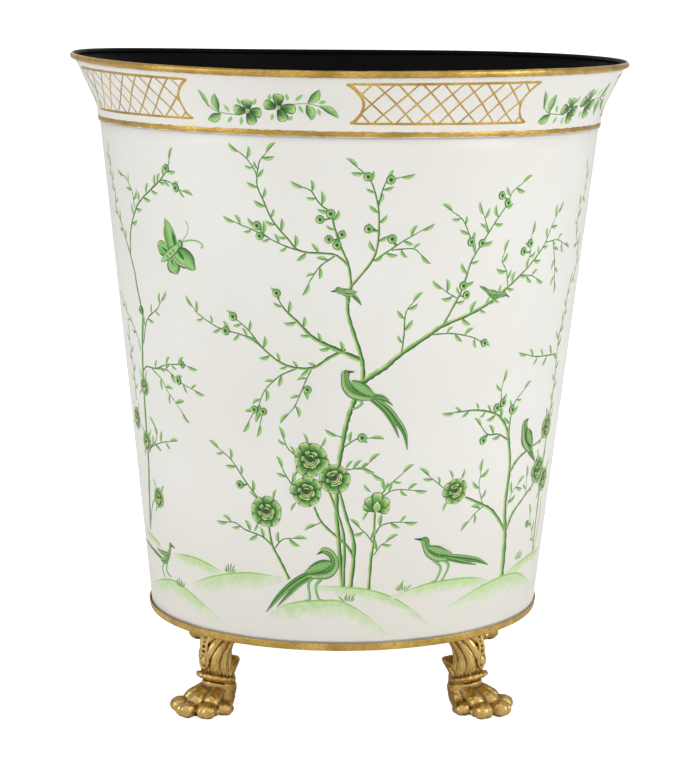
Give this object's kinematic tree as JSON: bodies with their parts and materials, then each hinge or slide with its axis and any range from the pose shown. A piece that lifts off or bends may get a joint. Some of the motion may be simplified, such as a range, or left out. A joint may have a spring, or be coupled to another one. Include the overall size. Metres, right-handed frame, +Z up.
{
  "type": "footed planter",
  "caption": "Tapered painted metal planter with a flared, wired rim, a shallow base pan and cast paw feet; holds a plant pot or serves as a bin.",
  "frame": {"origin": "on the floor under the middle of the base pan, midway between the soles of the feet", "axes": "+Z up; -Y towards the front that faces the viewer; +X to the viewer's right, the way the body leans slightly"},
  "size_m": [0.3634, 0.3636, 0.4206],
  "materials": {
    "ivory_enamel": "satin off-white enamel, painted by hand with a garden pattern",
    "gold_paint": "brushed-on gold paint, uneven at its edges",
    "gilt_brass": "gilt casting with dark brown left in the recesses",
    "black_paint": "satin black paint inside"
  },
  "bodies": {
    "root": {"body_shell": "ivory_enamel", "flared_collar": "ivory_enamel", "rim_wire": "gold_paint", "base_pan": "gold_paint", "foot_bolts": "black_paint", "paw_foot_front_left": "gilt_brass", "paw_foot_front_right": "gilt_brass", "paw_foot_rear_right": "gilt_brass", "paw_foot_rear_left": "gilt_brass"}
  },
  "joints": []
}
